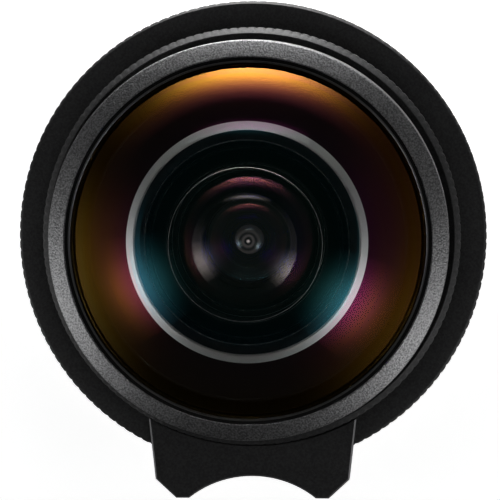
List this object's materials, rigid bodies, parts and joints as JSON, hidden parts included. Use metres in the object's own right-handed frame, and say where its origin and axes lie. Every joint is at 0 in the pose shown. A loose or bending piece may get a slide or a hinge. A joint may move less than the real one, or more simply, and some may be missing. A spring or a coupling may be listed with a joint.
{
  "type": "fisheye lens",
  "caption": "Small manual fisheye lens with a domed front element, ribbed focus and aperture rings, a finger tab and a lugged bayonet.",
  "frame": {"origin": "on the lens axis, in the plane of the bayonet flange that meets the camera", "axes": "+Z along the lens axis from the camera towards the subject; -Y towards the focus tab at rest"},
  "size_m": [0.0452, 0.0481, 0.03],
  "materials": {
    "anodised_black": "black anodised, fine turned",
    "blasted_black": "black anodised, bead blasted",
    "flocked_black": "dead black inside the light path",
    "mount_chrome": "chromed brass, fine turned",
    "brass": "turned and lapped",
    "steel": "bright",
    "black_steel": "blackened",
    "blade_steel": "blackened spring steel, satin",
    "front_glass": "polished, multicoated, back rim painted black",
    "inner_glass": "polished, coated",
    "seal_rubber": "matte",
    "washer_plastic": "low-friction sheet",
    "index_red": "red enamel bead"
  },
  "bodies": {
    "base": {"bayonet_mount": "mount_chrome", "mount_screws": "steel", "base_barrel": "anodised_black", "index_dot": "index_red", "linear_key": "steel", "key_screw": "steel", "friction_washer": "washer_plastic", "helicoid_retainer": "brass", "rear_baffle": "flocked_black", "baffle_screws": "black_steel"},
    "focus": {"focus_helicoid": "brass", "stop_pin": "steel", "focus_ring": "anodised_black", "grub_screws": "black_steel", "focus_tab": "anodised_black", "tab_screws": "black_steel"},
    "head": {"head_barrel": "brass", "cell_screws": "steel", "front_element": "front_glass", "front_gasket": "seal_rubber", "second_element": "inner_glass", "third_element": "inner_glass", "fourth_element": "inner_glass", "front_cell": "flocked_black", "second_retainer": "flocked_black", "spacer_ring": "flocked_black", "front_ring": "blasted_black", "iris_housing": "flocked_black", "iris_cover": "flocked_black", "doublet_front": "inner_glass", "doublet_rear": "inner_glass", "rear_element": "inner_glass", "rear_spacer": "flocked_black", "rear_cell": "anodised_black", "rear_retainer": "flocked_black", "rear_cell_screws": "steel"},
    "aperture": {"aperture_ring": "anodised_black", "iris_cam_ring": "brass", "iris_lever": "steel"},
    "blade_1": {"iris_blade_1": "blade_steel"},
    "blade_2": {"iris_blade_2": "blade_steel"},
    "blade_3": {"iris_blade_3": "blade_steel"},
    "blade_4": {"iris_blade_4": "blade_steel"},
    "blade_5": {"iris_blade_5": "blade_steel"},
    "blade_6": {"iris_blade_6": "blade_steel"},
    "blade_7": {"iris_blade_7": "blade_steel"}
  },
  "joints": [
    {"name": "focus_turn", "type": "hinge", "parent": "base", "child": "focus", "pos_m": [0, 0, 0.0045], "axis": [0, 0, 1], "range_deg": [-45, 45]},
    {"name": "head_lift", "type": "slide", "parent": "base", "child": "head", "axis": [0, 0, 1], "range_m": [-0.000125, 0.000125]},
    {"name": "aperture_turn", "type": "hinge", "parent": "head", "child": "aperture", "pos_m": [0, 0, 0.0082], "axis": [0, 0, 1], "range_deg": [0, 42]},
    {"name": "blade_1_swing", "type": "hinge", "parent": "head", "child": "blade_1", "pos_m": [0.0046, 0.00168, 0.006], "axis": [0, 0, 1], "range_deg": [0, 23.36]},
    {"name": "blade_2_swing", "type": "hinge", "parent": "head", "child": "blade_2", "pos_m": [0.00156, 0.00464, 0.006], "axis": [0, 0, 1], "range_deg": [0, 23.36]},
    {"name": "blade_3_swing", "type": "hinge", "parent": "head", "child": "blade_3", "pos_m": [-0.00266, 0.00412, 0.006], "axis": [0, 0, 1], "range_deg": [0, 23.36]},
    {"name": "blade_4_swing", "type": "hinge", "parent": "head", "child": "blade_4", "pos_m": [-0.00488, 0.00049, 0.006], "axis": [0, 0, 1], "range_deg": [0, 23.36]},
    {"name": "blade_5_swing", "type": "hinge", "parent": "head", "child": "blade_5", "pos_m": [-0.00342, -0.00351, 0.006], "axis": [0, 0, 1], "range_deg": [0, 23.36]},
    {"name": "blade_6_swing", "type": "hinge", "parent": "head", "child": "blade_6", "pos_m": [0.00061, -0.00486, 0.006], "axis": [0, 0, 1], "range_deg": [0, 23.36]},
    {"name": "blade_7_swing", "type": "hinge", "parent": "head", "child": "blade_7", "pos_m": [0.00418, -0.00256, 0.006], "axis": [0, 0, 1], "range_deg": [0, 23.36]}
  ],
  "couplings": [
    {"joint": "focus_turn", "follows": "head_lift", "rad_per_m": 6283.2},
    {"joint": "blade_1_swing", "follows": "aperture_turn", "ratio": 0.55506},
    {"joint": "blade_2_swing", "follows": "aperture_turn", "ratio": 0.55506},
    {"joint": "blade_3_swing", "follows": "aperture_turn", "ratio": 0.55506},
    {"joint": "blade_4_swing", "follows": "aperture_turn", "ratio": 0.55506},
    {"joint": "blade_5_swing", "follows": "aperture_turn", "ratio": 0.55506},
    {"joint": "blade_6_swing", "follows": "aperture_turn", "ratio": 0.55506},
    {"joint": "blade_7_swing", "follows": "aperture_turn", "ratio": 0.55506}
  ]
}
